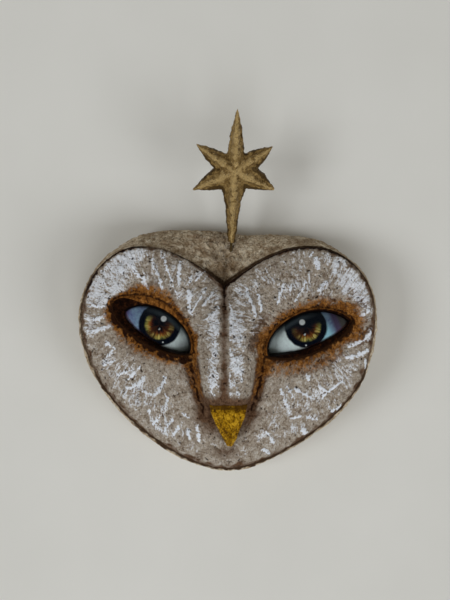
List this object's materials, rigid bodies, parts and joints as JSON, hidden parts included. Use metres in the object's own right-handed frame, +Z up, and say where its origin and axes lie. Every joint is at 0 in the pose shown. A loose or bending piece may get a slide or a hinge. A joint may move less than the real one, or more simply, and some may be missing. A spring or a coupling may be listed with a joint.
{
  "type": "owl head wall ornament",
  "caption": "Flat-backed owl head figurine in hand-modelled clay, with glass eyes, a beak and a star on a wire pin above the crown; hangs on a wall from a hinged ring in its back.",
  "frame": {"origin": "centre of the head on the felt pad's flat back, where the ornament lies against the wall", "axes": "+Z up, towards the star's tip; +X to the right of someone facing the owl; +Y into the wall, so the face looks along -Y"},
  "size_m": [0.094, 0.0328, 0.1113],
  "materials": {
    "crown_clay": "unpainted greige pulp clay, rough and crackled",
    "core_foam": "rigid foam, hidden",
    "face_clay": "pulp clay, dry-brushed white over a brown wash",
    "lid_clay": "pulp clay, orange-brown wash going to near black at the rim",
    "eye_glass": "polished clear dome",
    "eye_paper": "printed iris and white of the eye",
    "beak_paint": "ochre-yellow paint on hard clay, slightly shiny",
    "gold_clay": "antique bronze-gold paint on hard clay, grainy",
    "pin_wire": "dull brass wire",
    "board_wood": "thin raw fibre board",
    "backing_felt": "dark brown felt",
    "hanger_brass": "brass-plated, satin"
  },
  "bodies": {
    "head": {"head_shell": "crown_clay", "foam_core": "core_foam", "face_lobe_left": "face_clay", "face_lobe_right": "face_clay", "upper_eyelid_left": "lid_clay", "upper_eyelid_right": "lid_clay", "lower_eyelid_left": "lid_clay", "lower_eyelid_right": "lid_clay", "eye_glass_left": "eye_glass", "eye_glass_right": "eye_glass", "eye_print_left": "eye_paper", "eye_print_right": "eye_paper", "beak": "beak_paint", "star": "gold_clay", "star_pin": "pin_wire", "back_board": "board_wood", "felt_pad": "backing_felt", "hanger_strap": "hanger_brass", "hanger_screw": "hanger_brass"},
    "ring": {"hanger_ring": "hanger_brass"}
  },
  "joints": [
    {"name": "ring_swing", "type": "hinge", "parent": "head", "child": "ring", "pos_m": [0, -0.002, 0.018], "axis": [1, 0, 0], "range_deg": [0, 180]}
  ]
}
